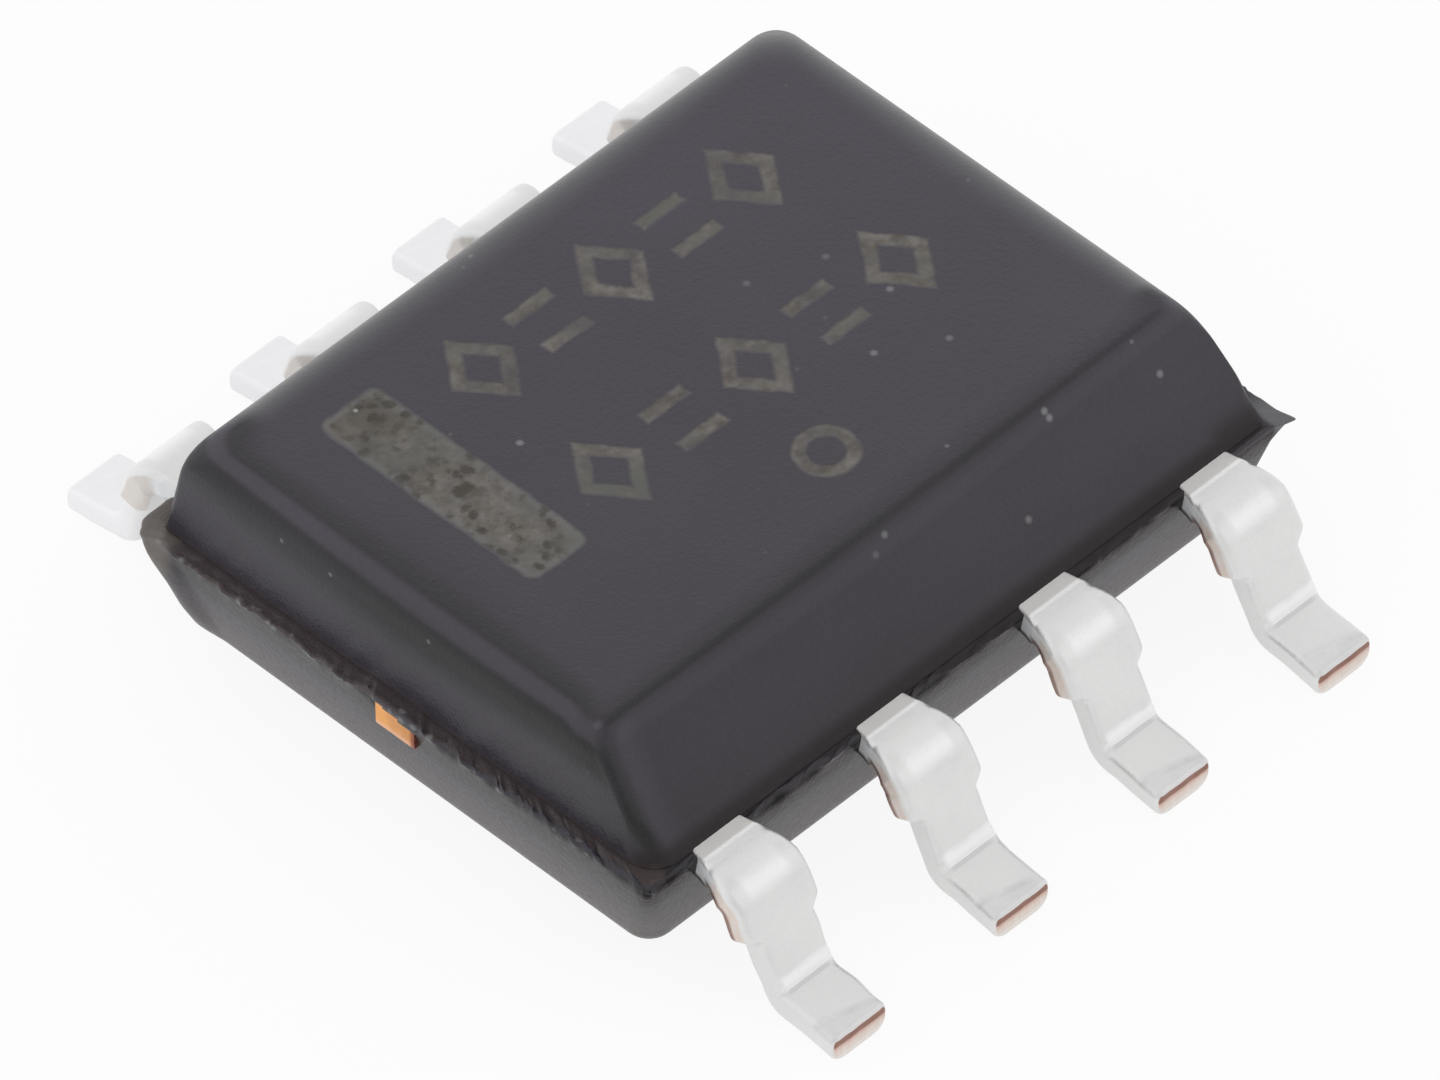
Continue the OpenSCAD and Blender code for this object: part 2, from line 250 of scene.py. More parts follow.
# %% [markdown]
# ### The lip
# Epoxy creeps into the joint of the mould and tears off when the chip is pushed out. Two seeded
# waves push the rim in and out and a third lets it dip. At one corner, where the mould vents, it is
# drawn out to a sharp fin, and at another heaped to an ear over a fuller wall. Where a tie bar of
# the lead frame was cut off, the rim stands back and leaves the copper bare under a slanting cover.

# %% Sizes of the lip
# Finest wave and seed of the coarse push, the fine push and the dip, and how far each goes
WAVES = ((90, 3), (290, 7), (240, 11))
COARSE_OUT, FINE_OUT, DIP_DOWN = 0.009, 0.008, 0.009
KNOB_Y, KNOB_R, KNOB_OUT = 1.70, 0.07, 0.025
EAR_INSET, EAR_OUT, EAR_BACK, EAR_UP, EAR_ROUGH = 0.10, 0.025, 0.035, 0.03, 0.20
FULLER_WALL = 0.040
FIN_OUT, TIP_OUT, TIP_FRONT, FIN_DROP, FIN_FLAT = 0.036, 0.026, -0.045, 0.030, 0.7
COVER_OUT, BAR_IN, SEAT_UP = 0.012, -0.014, 0.020
END_BAND = 0.05


def ring_noise(count, finest, seed):
    """Random numbers round a closed loop, kept to waves no shorter than count / finest points
    and scaled to a spread of 1, so that the end meets the start."""
    waves = np.fft.rfft(np.random.RandomState(seed).normal(size=count))
    order = np.arange(len(waves))
    waves = waves * np.exp(-((order / finest) ** 2)) * (order > 0)
    smooth = np.fft.irfft(waves, count)
    return smooth / smooth.std()


def by_level(*pairs):
    """A share for each level, straight between pairs of level, counted from the joint, and share."""
    at, share = zip(*pairs)
    return np.interp(np.arange(len(levels)) - JOINT_ROW, at, share)[:, None]


# %% The lip round the joint
def shape_rim(plan):
    """Moves the loops near the joint out and up. Each feature is a size times a window round the
    loop times a share by level. The outward directions are the same loop drawn as a unit circle,
    all corner and no side. Returns the moved plan and the heights."""
    points = plan.shape[1]
    z = np.repeat(levels[:, :1], points, 1)
    one = np.ones((1, 1))
    outward = rounded_loops([(one, one)] * 4, [one] * 4, CORNER_POINTS, SIDE_POINTS)[0]
    coarse, fine, dip = (ring_noise(points, *wave) for wave in WAVES)
    rim = plan[JOINT_ROW - 3]
    to_tip, to_ear = (np.linalg.norm(rim - rim[corner_middle(k)], axis=1) for k in (3, 1))
    at_end, from_bar = np.abs(rim[:, 0]) > BODY_X - END_BAND, np.abs(rim[:, 1])

    at_tip = window(to_tip, 0.005, 0.085)
    fin = window(to_tip, 0.20, 0.40) * window(BODY_X - rim[:, 0], 0.01, 0.04)
    fin_rows = by_level((-8, 0), (-6, 0.3), (-3, 1), (0, 0.9), (3, 0))
    ear = window(np.hypot(rim[:, 0] + BODY_X - EAR_INSET, rim[:, 1] - BODY_Y), 0.14, 0.13)
    ear_rows = by_level((-12, 0), (-8, 0.4), (-5, 1), (0, 1), (1, 0.6), (3, 0))
    knob = np.exp(-((rim[:, 0] + BODY_X) ** 2 + (rim[:, 1] - KNOB_Y) ** 2) / KNOB_R ** 2)
    calm = (1 - ear) * (1 - window(to_tip, 0.10, 0.30))
    lip = by_level((-7, 0), (-5, 0.3), (-2, 1), (0, 0.9), (2, 0))
    at_tie = at_end * window(from_bar, TIE_HALF, 0.03)
    seat = by_level((-5, 0), (-2, 1), (LEDGE_ROWS, 1), (LEDGE_ROWS + 2, 0))

    across_bar = rim[:, 1] * np.sign(-rim[:, 0])
    cover = np.interp(across_bar, [-0.16, -0.02, 0.10], [0.83, 0.86, 0.875])
    bar_push = np.where(z > cover, COVER_OUT, BAR_IN)
    ragged = (COARSE_OUT * coarse + FINE_OUT * fine) * calm + KNOB_OUT * knob
    move = ragged * lip * (1 - at_tie) + bar_push * at_tie * (lip > 0)
    move = move + (EAR_OUT + EAR_BACK * outward[:, 1]) * ear * (1 + EAR_ROUGH * coarse) * ear_rows
    fuller = np.interp(z, [0.20, 0.40, 0.75, 0.87], [0.1, 0.95, 1.0, 0.0])
    move = move + FULLER_WALL * window(to_ear, 0.04, 0.22) * fuller
    tip_move = np.stack([FIN_OUT * fin + TIP_OUT * at_tip, TIP_FRONT * at_tip], -1)
    plan = plan + outward * move[..., None] + tip_move * fin_rows[..., None]

    z = z - lip * np.abs(dip) * DIP_DOWN * (1 - at_tie) * calm + EAR_UP * ear * ear_rows
    z = z + (PART_Z - FIN_DROP - z) * FIN_FLAT * fin_rows * np.maximum(fin, at_tip)
    z = z + SEAT_UP * seat * at_end * window(from_bar, TIE_HALF + 0.05, 0.08)
    return plan, z


plan, heights = shape_rim(plain_plan)
print(f"the lip moves the rim by up to {np.abs(plan - plain_plan).max():.3f} mm")

# %% [markdown]
# ### The underside and the whole body
# The underside is the lowest loop drawn together in steps, closer where two round ejector pins have
# left their marks. Three numbers go with each point, so that the finish can follow the form: how far
# it lies below the edge of the top, above the crevice, and round the corner next to lead 1.

# %% The body as one surface
FAR = 9.0
UNDER_STEPS = ((0.03, 0.12, 0.20, 0.28, 0.34), np.linspace(0.37, 0.78, 46), np.linspace(0.82, 0.97, 6))


def underside(ring):
    """Copies of the lowest ring, each shrunk to a share of it and lifted inside the two marks."""
    shrink = np.concatenate(UNDER_STEPS)[:, None, None]
    under = ring[None] * shrink
    away = np.hypot(np.abs(under[..., 0]) - BODY_X / 2, under[..., 1])
    return np.dstack([under, STANDOFF + EJECTOR_DEPTH * window(away, EJECTOR_R - 0.02, 0.03)])


def body_values(walls, under_rows):
    """Lengths up the surface from the edge of the top and from the crevice, and at each level the
    distance from corner 2, signed by the side."""
    points = walls.shape[1]
    step = np.linalg.norm(np.diff(walls, axis=0), axis=2)
    run = np.vstack([np.zeros((1, points)), np.cumsum(step, axis=0)])
    hidden = np.full((under_rows, points), FAR)
    brow = np.vstack([hidden, run[EDGE_ROW] - run])
    rise = np.vstack([-hidden, run - run[JOINT_ROW + LEDGE_ROWS - 1]])
    near = corner_middle(2)
    from_corner = np.linalg.norm(walls - walls[:, near:near + 1], axis=2)
    round_corner = np.vstack([hidden, from_corner * np.sign(np.arange(points) - near)])
    return {"brow": brow, "rise": rise, "round_corner": round_corner}


under, walls = underside(plan[0]), np.dstack([plan, heights])
body = loops_to_piece("epoxy_body", np.concatenate([under, walls]), body_values(walls, len(under)), sharp=50)
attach(body, "root")
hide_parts("mould_body")

# %% [markdown]
# ## The leads
# A lead is a strip of constant thickness that leaves the body level, bends down at the shoulder,
# runs down the leg, bends out at the heel and ends in a foot. Both faces of a bent strip are arcs
# about the same centres. The cross-section is a rectangle whose edges are rounded by the stamping,
# more on the lower side. Its half width changes along the way: a broad finger inside the body, a
# plain strip outside, a little wider with plating, and a wider stretch where the dam bar between
# the leads was cut away. The back row's shoulders stand further out and bend more tightly.

# %% Sizes of a lead in millimetres
PITCH, LEAD_W, LEAD_T = 1.27, 0.37, 0.20
TOE_U, FOOT_L, FOOT_A = 3.00, 0.39, 8.0
HEEL_R, TOE_EDGE = 0.04, 0.028
# How far out from the body the corner of the shoulder lies, and the inner radius of its bend
FRONT_SHOULDER, BACK_SHOULDER = (0.33, 0.10), (0.45, 0.05)
STUB_OUT, STUB_LEG, STUB_SLOPE = 0.07, 0.14, 0.07
NECK_U, NECK_L, FINGER_U, SIDE_FINGER_U = 1.51, 0.14, 1.06, 0.62
SIDE_FINGER_X, FINGER_W = 1.74, 0.56
ARC_POINTS = 40


# %% The bent strip
def arc_points(centre, radius, start, stop):
    """Points at equal angles on a circle, angles in degrees."""
    angle = np.radians(np.linspace(start, stop, ARC_POINTS))
    return np.asarray(centre) + radius * np.stack([np.cos(angle), np.sin(angle)], -1)


def strip_faces(tip_u, out, bend_r):
    """Upper and lower line of the strip in (u, z): level, shoulder arc of inner radius bend_r with
    its corner out from the body, straight leg, heel arc and foot. Pairs of points lie square across."""
    foot = math.radians(FOOT_A)
    crease_u = TOE_U - FOOT_L
    crease_z = LEAD_T / math.cos(foot) + FOOT_L * math.tan(foot)
    corner_u = BODY_Y + out
    outer_r = bend_r + LEAD_T
    leg = math.atan((crease_u - corner_u) / (PART_Z - crease_z))
    leg_a = math.degrees(leg)
    shoulder = (corner_u - outer_r * math.tan((math.pi / 2 - leg) / 2), PART_Z - outer_r)
    hook = HEEL_R * math.tan((math.pi / 2 - leg - foot) / 2)
    heel = (crease_u + hook * math.cos(foot) + HEEL_R * math.sin(foot),
            crease_z - hook * math.sin(foot) + HEEL_R * math.cos(foot))
    faces = []
    for deep in (0.0, LEAD_T):
        faces.append(np.vstack([[tip_u, PART_Z - deep], arc_points(shoulder, outer_r - deep, 90, leg_a),
                                arc_points(heel, HEEL_R + deep, 180 + leg_a, 270 - FOOT_A),
                                [TOE_U, (LEAD_T - deep) / math.cos(foot)]]))
    return faces


def strip_run(upper, lower):
    """Length along the middle of the strip at each pair of points."""
    middle = (upper + lower) / 2
    return np.concatenate([[0], np.cumsum(np.linalg.norm(np.diff(middle, axis=0), axis=1))])


# The start and the end of both arcs, and the toe, as numbers of points and as lengths from the body
STATIONS = [1, ARC_POINTS, ARC_POINTS + 1, 2 * ARC_POINTS, 2 * ARC_POINTS + 1]
BEND, LEG, HEEL, FOOT, TOE = strip_run(*strip_faces(BODY_Y, *FRONT_SHOULDER))[STATIONS]
print(f"a front lead is {TOE:.2f} mm long outside the body")

# %% [markdown]
# ### Width and unevenness
# No two leads are quite alike: each is a little wavy in width and place, from sines with a seed of
# its own. On top the foot has the ridge and the hollow that the bending tool pressed beside the
# heel, and a slight dent near the toe.

# %% Width and unevenness of a lead
EDGE_R, WORN_UPPER, WORN_LOWER, WORN_FOOT = 0.020, 0.030, 0.050, 0.020
WAVY_WIDTH, WAVY_PLACE, WAVY_TOP, HEEL_SPREAD = 0.006, 0.005, 0.0012, 0.006
RIDGE_UP, HOLLOW_DOWN, DENT_DOWN = 0.006, 0.004, 0.004
DENT_L, DENT_SKEW = 0.105, 0.24


def wobble(rows, seed):
    """Mean of four sine waves of random length and phase, a gentle unevenness along a lead."""
    random = np.random.RandomState(seed)
    length, phase = random.uniform(0.25, 0.8, 4)[:, None], random.uniform(0, 6.3, 4)[:, None]
    return np.sin(2 * math.pi * rows / length + phase).mean(0)


def bell(rows, middle, size):
    """Bell curve of the distance from one place along the lead."""
    return np.exp(-((rows - middle) / size) ** 2)


def half_width(rows, along, inner, leg, heel):
    """Half the strip, plus the finger, the flared stub, the spread at the heel and the plating."""
    flare = np.interp(along, [0.00, 0.10, 0.20, 0.27, 0.34], [0, 0.030, 0.062, 0.080, STUB_OUT + 0.004])
    stub = flare * window(rows, leg + STUB_LEG - 0.01, STUB_SLOPE + 0.02)
    plating = np.interp(along, [-0.06, 0.0, 0.12, 0.45], [0, 0.010, 0.012, 0.026])
    finger = inner * (FINGER_W - LEAD_W) / 2
    return LEAD_W / 2 + finger + stub + HEEL_SPREAD * bell(rows, heel + 0.06, 0.11) + plating


def strip_section(half, thick, upper_r, lower_r):
    """Rounded rectangle round each row, as (side, rise), with one radius above and one below."""
    half, high, above, below = (a[:, None] for a in (half, thick / 2, upper_r, lower_r))
    return rounded_loops([(half, high)] * 4, (above, above, below, below), 7, 9)


def lead_rows(neck, bend, toe):
    """Lengths along the lead at which a section is drawn: few inside, many outside, and an arc of
    radius TOE_EDGE at the toe."""
    inside = [np.linspace(0, neck, 8), [neck - NECK_L], np.linspace(neck, bend - 0.12, 6)]
    outside = np.linspace(bend - 0.12, toe - TOE_EDGE, 150)
    toe_edge = toe - TOE_EDGE * (1 - np.sin(np.linspace(0, math.pi / 2, 8)))
    return np.unique(np.concatenate([*inside, outside, toe_edge]).round(5))


# %% One lead
def lead_surface(number):
    """Strip section carried along the bent path of one lead. Leads 5 to 8 are turned by half a turn
    about Z. Returns the loops in mm, and for each point how far it lies along the lead from the
    body's side, how far from its middle line, and how high in its thickness."""
    place = (number - 1) % 4
    x0 = (place - 1.5) * PITCH
    outer = place in (0, 3)
    finger_x = math.copysign(SIDE_FINGER_X, x0) if outer else x0
    tip_u = SIDE_FINGER_U if outer else FINGER_U
    upper, lower = strip_faces(tip_u, *(FRONT_SHOULDER if number <= 4 else BACK_SHOULDER))
    run = strip_run(upper, lower)
    bend, leg, heel, foot, toe = run[STATIONS]
    neck, wall = NECK_U - tip_u, BODY_Y - tip_u
    rows = lead_rows(neck, bend, toe)
    along = np.interp(rows, [0, wall, bend, leg, heel, foot, toe], [-wall, 0, BEND, LEG, HEEL, FOOT, TOE])
    inner = np.interp(rows, [neck - NECK_L, neck], [1, 0])
    outside = window(-rows, -(bend - 0.02), 0.06)

    high, deep = (np.stack([np.interp(rows, run, line[:, k]) for k in (0, 1)], -1) for line in (upper, lower))
    thick = np.linalg.norm(high - deep, axis=1)
    rise = (high - deep) / thick[:, None]
    centre = (high + deep) / 2
    half = half_width(rows, along, inner, leg, heel) + WAVY_WIDTH * wobble(rows, number) * outside
    side = inner * (finger_x - x0) + WAVY_PLACE * wobble(rows, number + 20) * outside
    left = np.clip(toe - rows, 0, TOE_EDGE)
    pull = TOE_EDGE - np.sqrt(np.maximum(TOE_EDGE ** 2 - (TOE_EDGE - left) ** 2, 0))
    upper_r = EDGE_R + WORN_UPPER * outside
    lower_r = EDGE_R + WORN_LOWER * outside + WORN_FOOT * np.interp(rows, [leg, heel, toe - 0.03], [0, 1, 1])
    section = strip_section(half - pull, thick - 2 * pull, upper_r, lower_r)
    depth = section[..., 1] / (thick[:, None] / 2)

    pressed = RIDGE_UP * bell(rows, heel - 0.030, 0.022) - HOLLOW_DOWN * bell(rows, heel + 0.06, 0.03)
    wave = WAVY_TOP * wobble(rows, number + 40) * outside
    dent = DENT_DOWN * window(toe - rows[:, None], DENT_L - DENT_SKEW * section[..., 0], 0.03)
    lift = section[..., 1] + np.clip(depth, 0, 1) ** 2 * ((pressed + wave)[:, None] - dent)

    x = x0 + side[:, None] + section[..., 0]
    u, z = (centre[:, None, k] + lift * rise[:, None, k] for k in (0, 1))
    turn = 1 if number <= 4 else -1
    values = {"along": np.repeat(along[:, None], x.shape[1], 1), "aside": section[..., 0], "depth": depth}
    return np.stack([turn * x, -turn * u, z], -1), values


# %% The eight leads
leads = []
for number in range(1, 9):
    loops, values = lead_surface(number)
    values = {key: numbers[:, ::-1] for key, numbers in values.items()}
    lead = loops_to_piece(f"tinned_lead_{number}", loops[:, ::-1], values, sharp=40)
    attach(lead, "root")
    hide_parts(f"lead_{number}")
    leads.append(lead)

# %% [markdown]
# ## Finishes as sums
# A finish is a small calculation: some noise, a mask, two colours mixed by the mask. Written as
# nodes it takes many lines, so a class wraps a socket and lets Python's own operators add Math
# nodes. Colours are mixed by Mix nodes, and every other node is made by one method.


# %% Sockets that can be added and multiplied
def plug(tree, slot, value):
    """Links a socket to a slot, or sets the slot to a plain value."""
    value = value.socket if isinstance(value, Number) else value
    if isinstance(value, bpy.types.NodeSocket):
        tree.links.new(value, slot)
    else:
        slot.default_value = value


class Number:
    """One value socket of a node tree. An operator or a method on it adds a Math node."""

    def __init__(self, tree, socket):
        self.tree, self.socket = tree, socket

    def math(self, operation, *others):
        """Math node with this value first and the others after it."""
        node = self.tree.nodes.new("ShaderNodeMath")
        node.operation = operation
        for slot, value in zip(node.inputs, (self, *others)):
            plug(self.tree, slot, value)
        return Number(self.tree, node.outputs[0])

    __add__ = __radd__ = partialmethod(math, "ADD")
    __mul__ = __rmul__ = partialmethod(math, "MULTIPLY")
    __sub__, __truediv__ = partialmethod(math, "SUBTRACT"), partialmethod(math, "DIVIDE")
    __abs__, fraction = partialmethod(math, "ABSOLUTE"), partialmethod(math, "FRACT")
    high, low = partialmethod(math, "MAXIMUM"), partialmethod(math, "MINIMUM")
    power = partialmethod(math, "POWER")

    def __rsub__(self, other):
        """A plain number less this value: this value times -1, plus the number."""
        return self.math("MULTIPLY_ADD", -1.0, other)

    def step(self, start, stop):
        """0 before start, 1 after stop and a smooth step between, in either direction."""
        node = self.tree.nodes.new("ShaderNodeMapRange")
        node.interpolation_type = "SMOOTHSTEP"
        self.tree.links.new(self.socket, node.inputs["Value"])
        ends = (start, stop, 0.0, 1.0) if start < stop else (stop, start, 1.0, 0.0)
        for key, value in zip(("From Min", "From Max", "To Min", "To Max"), ends):
            node.inputs[key].default_value = value
        return Number(self.tree, node.outputs["Result"])

    def within(self, start, full, fade, stop):
        """0 up to start, 1 from full to fade, and 0 again from stop on."""
        return self.step(start, full) * self.step(stop, fade)


# %% Node trees and materials
class Nodes:
    """A node tree, and short ways to add nodes to it."""

    def __init__(self, tree):
        self.tree = tree

    def node(self, kind, settings, sockets):
        """Any node: its settings first, then a value or a link for each socket named."""
        made = self.tree.nodes.new(kind)
        for key, value in settings.items():
            setattr(made, key, value)
        for key, value in sockets.items():
            plug(self.tree, made.inputs[key], value)
        return made

    def number(self, kind, settings, sockets, output=0):
        return Number(self.tree, self.node(kind, settings, sockets).outputs[output])

    def split(self, vector):
        """The three parts of a vector."""
        parts = self.node("ShaderNodeSeparateXYZ", {}, {"Vector": vector})
        return [Number(self.tree, part) for part in parts.outputs]

    def seen(self):
        """Two shares: 1 on rays straight from the camera, and 1 on rays off a glossy surface."""
        path = self.node("ShaderNodeLightPath", {}, {})
        return [Number(self.tree, path.outputs[key]) for key in ("Is Camera Ray", "Is Glossy Ray")]

    def blend(self, share, first, second):
        """Mix Shader: first shader where share is 0, second where it is 1."""
        return self.node("ShaderNodeMixShader", {}, {"Fac": share, 1: first, 2: second}).outputs[0]

    def surface(self, shader):
        """Sends a shader to the output of the tree."""
        output = next(n for n in self.tree.nodes if n.type.startswith("OUTPUT"))
        self.tree.links.new(shader, output.inputs["Surface"])


class Finish(Nodes):
    """A material with one Principled shader, and short ways to fill its sockets."""

    def __init__(self, name, **sockets):
        self.material = bpy.data.materials.new(name)
        self.material.use_nodes = True
        super().__init__(self.material.node_tree)
        self.shader = self.tree.nodes["Principled BSDF"]
        for key, value in sockets.items():
            self.shader.inputs[key.replace("_", " ")].default_value = value
        place = self.node("ShaderNodeTexCoord", {}, {}).outputs["Object"]
        scale = {"Vector": place, "Scale": 1 / MM}
        self.mm = self.node("ShaderNodeVectorMath", {"operation": "SCALE"}, scale).outputs[0]
        self.x, self.y, self.z = self.split(self.mm)

    def noise(self, scale, detail=2.0, rough=0.5, stretch=(1, 1, 1)):
        """Cloudy noise about 0, with scale waves to the millimetre."""
        stretched = {0: self.mm, 1: stretch}
        place = self.node("ShaderNodeVectorMath", {"operation": "MULTIPLY"}, stretched).outputs[0]
        sockets = {"Vector": place, "Scale": scale, "Detail": detail, "Roughness": rough}
        return self.number("ShaderNodeTexNoise", {}, sockets) - 0.5

    def cells(self, scale):
        """Distance to the nearest of many scattered points, in cell widths."""
        sockets = {"Vector": self.mm, "Scale": scale}
        return self.number("ShaderNodeTexVoronoi", {"feature": "F1"}, sockets)

    def attribute(self, name):
        return self.number("ShaderNodeAttribute", {"attribute_name": name}, {}, "Fac")

    def mix(self, share, first, second):
        """First colour where share is 0, second where it is 1."""
        sockets = {"Factor": share, 6: first, 7: second}
        return self.node("ShaderNodeMix", {"data_type": "RGBA"}, sockets).outputs[2]

    def paint(self, colour, *layers):
        """Lays colours over one another. A layer is a share and the colour that it brings."""
        for share, over in layers:
            colour = self.mix(share, colour, over)
        return colour

    def bump(self, height, distance):
        sockets = {"Height": height, "Distance": distance * MM, "Strength": 1.0}
        self.put("Normal", self.node("ShaderNodeBump", {}, sockets).outputs[0])

    def put(self, socket, value):
        plug(self.tree, self.shader.inputs[socket], value)

    def dress(self, *pieces):
        for piece in pieces:
            piece.data.materials.clear()
            piece.data.materials.append(self.material)
        print(f"{self.material.name}: {len(self.tree.nodes)} nodes on {len(pieces)} pieces")


def grey(level, tint=(1.0, 1.0, 1.0)):
    """A colour of that linear level, leaned towards a tint."""
    return tuple(level * t for t in tint) + (1.0,)


# %% [markdown]
# ## Black epoxy
# Moulding compound is resin filled with fine silica, so it is a dull charcoal with a faint cool
# cast, a fine grain and a few bright grains. Marks burnt into the top by a laser are a lighter,
# warmer grey, rough and pitted: a band at the end with lead 1, a ring, and two rows of plain signs.
# Each is a distance worked out from the place on the top, so a burnt line keeps its width.

# %% Places of the marks
# Centre of the band, its half sizes and its corner radius
BAND = (-1.4875, 0.528, 0.2175, 0.838, 0.07)
RING_AT, RING_R = (0.11, -0.775), 0.155
# For each row of signs: its Y, the X of its first sign, the pitch and the number of signs
ROWS = ((1.03, -0.76, 0.51, 5), (-0.03, -0.82, 0.56, 5))
SIGN_LINE, SIGN_SOFT = 0.085, 0.016
LOZENGE_H, LOZENGE_SLANT = 0.235, 1.3
BAR_APART, BAR_HALF = 0.15, 0.12
epoxy = Finish("epoxy", Specular_Tint=(1.0, 0.955, 0.975, 1.0))
ripple = 0.030 * epoxy.noise(9.0, 2.0)


# %% Distances to the marks
def point_distance(f, cx, cy):
    """Distance in plan from one place."""
    dx, dy = f.x - cx, f.y - cy
    return (dx * dx + dy * dy).power(0.5)


def box_distance(f, cx, cy, hx, hy, r):
    """Distance outwards from a rounded box: the overshoots past its inner box, less the radius."""
    dx, dy = (abs(f.x - cx) - (hx - r)).high(0.0), (abs(f.y - cy) - (hy - r)).high(0.0)
    return (dx * dx + dy * dy).power(0.5) - r


def row_of_signs(f, y, x, pitch, count):
    """A row of open lozenges and pairs of short bars by turns. The place along it is folded into one
    cell, and a sign is where the distance to its line is under half a line width."""
    along = (f.x - (x - pitch / 2)) / pitch
    a, b = (along.fraction() - 0.5) * pitch, f.y - y
    lozenge = abs(abs(a) * LOZENGE_SLANT + abs(b) - LOZENGE_H) / math.hypot(LOZENGE_SLANT, 1)
    bars = (abs(abs(b) - BAR_APART)).high(abs(a) - BAR_HALF)
    odd = (along * 0.5).fraction().step(0.499, 0.501)
    sign = lozenge + (bars - lozenge) * odd + ripple
    inside = abs(along - count / 2).step(count / 2 + 0.001, count / 2)
    return sign.step(SIGN_LINE / 2 + SIGN_SOFT, SIGN_LINE / 2 - SIGN_SOFT) * inside


on_top = epoxy.z.step(TOP_Z - 0.02, TOP_Z - 0.01)
band_edge = box_distance(epoxy, *BAND) + ripple
band = band_edge.step(0.022, -0.022) * on_top
signs = (abs(point_distance(epoxy, *RING_AT) - RING_R) + ripple).step(0.055, 0.025)
for row in ROWS:
    signs = signs.high(row_of_signs(epoxy, *row))
signs = signs * on_top
print("marks: a band, a ring and", sum(row[-1] for row in ROWS), "signs")

# %% [markdown]
# ### Noise and grains of the epoxy
# The grey comes from three sizes of noise. The burnt marks are mottled: a pale fringe, a brownish
# middle and dark pits where the laser dwelt, which lie at scattered points, kept only where a slow
# noise lets them. Small bright grains are scattered the same way, and a few larger ones are listed.

# %% Noise of the epoxy and of the burnt marks
cloud, grain, dust = epoxy.noise(0.9, 3.0), epoxy.noise(26.0, 3.0, 0.6), epoxy.noise(70.0, 1.0)
spots, mottle = epoxy.noise(4.0, 1.0), epoxy.noise(13.0, 3.0, 0.6)
blots = epoxy.noise(7.0, 2.0).step(0.08, 0.20)
flecks = epoxy.cells(5.0).step(0.10, 0.03) * epoxy.noise(3.1).step(0.02, 0.10)
worn = epoxy.noise(6.0, 2.0).step(-0.28, 0.10)
dwelt = epoxy.y.step(0.80, 1.25) * epoxy.noise(5.0, 2.0).step(-0.15, 0.05)
pits = (epoxy.cells(9.0) - 0.75 * spots + 0.9 * mottle).step(0.44, 0.14)
pits = pits * epoxy.noise(2.3).step(-0.20, -0.05)
pits = pits.high((epoxy.cells(7.0) + 0.8 * mottle).step(0.36, 0.14) * dwelt)
fringe = band * band_edge.step(-0.055, -0.015)
burnt = (band * (0.75 + 0.25 * worn)).high(signs * (0.50 + 0.45 * worn))

# %% Bright grains
# Place in plan of each large grain, and how strongly it shows
GRAINS = ((1.19, -0.66, 0.19), (0.82, -0.44, 0.25), (1.23, -0.16, 0.25), (1.16, 0.27, 0.14),
          (0.71, 0.44, 0.13), (-1.02, 0.48, 0.28), (1.95, -1.54, 0.28), (1.186, -1.397, 0.30),
          (1.194, -1.427, 0.30), (0.77, -1.68, 0.22), (-0.08, -1.41, 0.22), (-0.19, -1.45, 0.12))
GRAIN_R = 0.032


def grain_distance(f, x, y):
    """Distance in space from a place on the top, or on the slope where that lies lower."""
    z = min(TOP_Z, PART_Z + (y + BODY_Y - SIDE_LEDGE) / math.tan(BEVEL_A))
    dx, dy, dz = f.x - x, f.y - y, f.z - z
    return (dx * dx + dy * dy + dz * dz).power(0.5)


grains = epoxy.cells(4.0).step(0.085, 0.02) * epoxy.noise(1.7).step(0.06, 0.11) * 0.22
for x, y, share in GRAINS:
    grains = grains.high(grain_distance(epoxy, x, y).step(GRAIN_R, GRAIN_R / 4) * share)
print(len(GRAINS), "large grains")

# %% [markdown]
# ### Where the tone changes
# Painted light and shade: along the edges of the top a dark and a light line are painted
# reflections, the far edges get a painted highlight, and the slope, the end wall and the corner next
# to lead 1 painted shade and highlights. The lower wall and the fin get painted light, the crevice a
# little painted light, and the gap, a recess and the wall under the lip painted shadow. The lip is
# rough and brownish. Such places are masks, worked out from the coordinates and from the three
# numbers that the mesh carries, so they follow the form and not the camera.

# %% Edges of the top and the corner
brow, rise, round_corner = (epoxy.attribute(key) for key in ("brow", "rise", "round_corner"))
front = epoxy.x.step(-1.80, -2.00).high(epoxy.y.step(-1.10, -1.22))
at_slope = epoxy.y.step(-1.10, -1.25)
slope_gap = epoxy.y + (BODY_Y - SIDE_LEDGE) - math.tan(BEVEL_A) * (epoxy.z - PART_Z)
# Painted shade: the sloped side is darker
painted_slope_shade = slope_gap.step(0.08, 0.03) * epoxy.y.step(-1.28, -1.36)
from_edge = brow + 0.035 - 0.035 * at_slope
from_line = from_edge - 0.03 * at_slope
# Painted reflections along the edges of the top: a dark line, a light line, and a band of painted shade below
# them
painted_dark_reflection = from_edge.within(-0.20, 0.02, 0.05, 0.10) * front
painted_light_reflection = from_line.within(0.07, 0.11, 0.16, 0.21) * front
painted_under_edge_shade = from_edge.within(0.17, 0.22, 0.34, 0.54) * slope_gap.step(0.03, 0.10)
# Painted highlight along the far edges of the top, at +X and +Y
far_edge_highlight = brow.step(-0.24, 0.15).power(2.0) * brow.step(0.60, 0.25) * (1.0 - front)
walled = brow.step(0.08, 0.16) * rise.step(0.0, 0.05)
